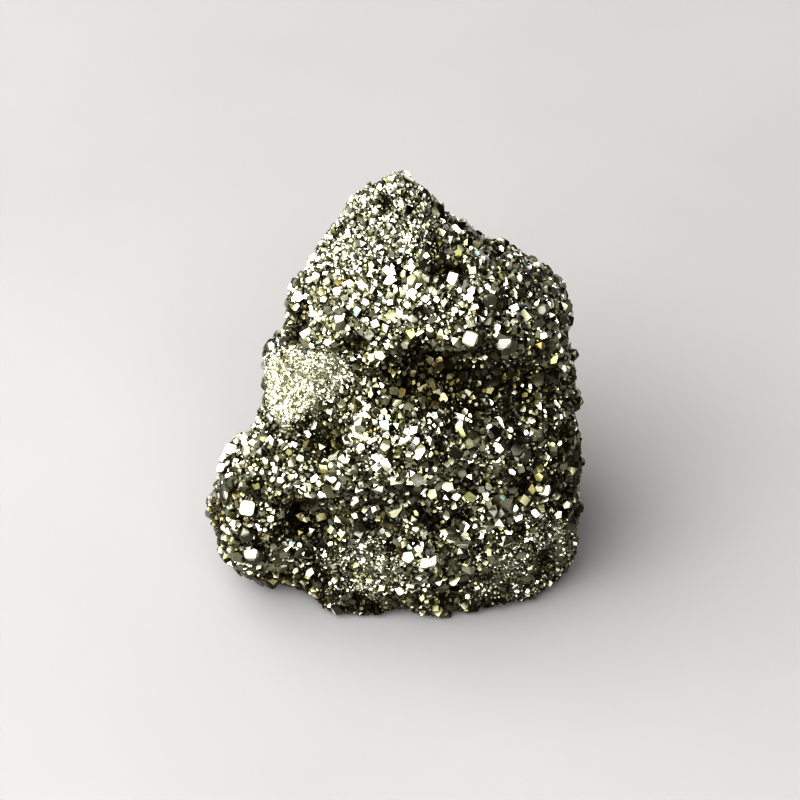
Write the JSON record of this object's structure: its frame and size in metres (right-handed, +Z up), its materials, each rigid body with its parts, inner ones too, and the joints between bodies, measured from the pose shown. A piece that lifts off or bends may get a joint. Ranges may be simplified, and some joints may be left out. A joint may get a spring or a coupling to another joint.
{
  "type": "pyrite specimen",
  "caption": "Upright hand-sized lump of drusy pyrite, covered in small intergrown crystals, that stands on a broken flat foot.",
  "frame": {"origin": "on the surface that the specimen stands on, under the middle of its plan", "axes": "+Z up through the peak, -Y out of the best face, +X to the right of someone who looks at that face"},
  "size_m": [0.0476, 0.0346, 0.0521],
  "materials": {
    "pyrite": "mirror-bright pale brass-yellow crystal faces, granular and duller between them, browner in the hollows"
  },
  "bodies": {
    "root": {"pyrite_cluster": "pyrite"}
  },
  "joints": []
}
